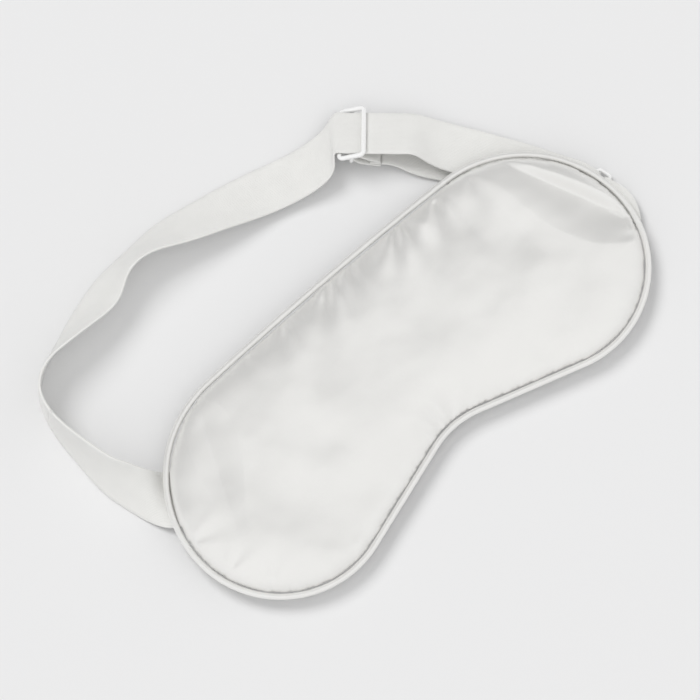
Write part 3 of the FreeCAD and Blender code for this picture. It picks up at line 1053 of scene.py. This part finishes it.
left_tack = zigzag(Vector((-92.2, 18.4, -1.05)), 58, TACK_LENGTH, TACK_REACH, TACK_COUNT)
finish_stitches(stitch_rows("left_bar_tack", left_tack, STITCH_RADIUS), "mask", ["strap_end_tack"])
right_tack = zigzag(Vector((98.0, -11.0, -2.05)), 14, TACK_LENGTH, TACK_REACH, TACK_COUNT)
finish_stitches(stitch_rows("tab_bar_tack", right_tack, STITCH_RADIUS), "mask", ["tab_tack"])

fold_row = []
for index in range(FOLD_STITCHES):
    middle = STRAP_WIDTH * (index + 0.5) / FOLD_STITCHES
    for outward, side in ((CENTRE_BAR - 2.3, -1), (CENTRE_BAR + 1.8, 1)):
        low = at_slider(FOLD_START + 3, outward, middle - HALF_STITCH)
        high = at_slider(FOLD_START + 3, outward, middle + HALF_STITCH)
        fold_row.append((low, high, OUTWARD * side))
finish_stitches(stitch_rows("fold_seam", fold_row, STITCH_RADIUS), "slider", ["fold_stitches"])


# ---------------------------------------------------------------- pieces kept from the frame

KEPT = {
    "slider": ENAMEL,
    "ring": ENAMEL,
    "piping_cord": CORD,
    "seam_thread": THREAD,
    "blackout_lining": LINING,
}
for node, material in KEPT.items():
    dress(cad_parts[node], material)


# ---------------------------------------------------------------- floor, light and camera

def make_floor():
    half = 3000
    z = TABLE_Z
    corners = [(-half, -half, z), (half, -half, z), (half, half, z), (-half, half, z)]
    floor = mesh_object("floor", corners, [(0, 1, 2, 3)])
    material, tree, shader = new_material("paper_floor", (0.80, 0.80, 0.802), 0.95, Specular_IOR_Level=0.1)
    vector = scaled_coordinates(tree, IN_MILLIMETRES)
    fleck = noise_height(tree, vector, 0.8, 2)
    add_bump(tree, shader, fleck, 0.01)
    dress(floor, material)


RIGHT = heading(-VIEW_TURN)
AWAY = heading(90 - VIEW_TURN)
TARGET = Vector((-9.1, 20.7, TABLE_Z)) * MM
KEY_STRENGTH = 1.42
KEY_SPREAD = 28
KEY_SIDE = RIGHT * -0.55 + AWAY * 0.5 + UP
DIM_SIDE = (AWAY * 0.86 - RIGHT * 0.51).normalized()
DIM_FROM = 0.12
DIM_TO = 0.55
SKY_BRIGHT = 0.87
SKY_DIM = 0.22


def make_key_light():
    """One soft light from the upper left that falls evenly and leaves no highlight of its own."""
    light = bpy.data.lights.new("key", "SUN")
    light.energy = KEY_STRENGTH
    light.angle = math.radians(KEY_SPREAD)
    lamp = bpy.data.objects.new("key", light)
    bpy.context.scene.collection.objects.link(lamp)
    toward = KEY_SIDE.normalized()
    lamp.rotation_euler = (-toward).to_track_quat("-Z", "Y").to_euler()
    lamp.visible_glossy = False


def make_camera():
    camera = bpy.data.cameras.new("camera")
    camera.sensor_width = 36
    camera.lens = camera.sensor_width * CAMERA_DISTANCE / VIEW_WIDTH
    camera.clip_end = 20
    holder = bpy.data.objects.new("camera", camera)
    bpy.context.scene.collection.objects.link(holder)
    tilt = math.radians(VIEW_TILT)
    toward = UP * math.sin(tilt) - AWAY * math.cos(tilt)
    holder.location = TARGET + toward * CAMERA_DISTANCE
    holder.rotation_euler = (-toward).to_track_quat("-Z", "Y").to_euler()
    bpy.context.scene.camera = holder


def make_world():
    """An even white room that is dimmer on the far side, as the satin's reflections show."""
    world = bpy.data.worlds.new("studio")
    world.use_nodes = True
    nodes = world.node_tree.nodes
    links = world.node_tree.links
    background = nodes["Background"]
    background.inputs["Color"].default_value = (1, 1, 1, 1)
    place = nodes.new("ShaderNodeTexCoord")
    along = nodes.new("ShaderNodeVectorMath")
    along.operation = "DOT_PRODUCT"
    along.inputs[1].default_value = DIM_SIDE
    level = nodes.new("ShaderNodeMapRange")
    level.interpolation_type = "SMOOTHSTEP"
    level.inputs["From Min"].default_value = DIM_FROM
    level.inputs["From Max"].default_value = DIM_TO
    level.inputs["To Min"].default_value = SKY_BRIGHT
    level.inputs["To Max"].default_value = SKY_DIM
    links.new(place.outputs["Generated"], along.inputs[0])
    links.new(along.outputs["Value"], level.inputs["Value"])
    links.new(level.outputs["Result"], background.inputs["Strength"])
    bpy.context.scene.world = world


make_floor()
make_key_light()
make_world()
make_camera()
bpy.context.scene.view_settings.view_transform = "Standard"
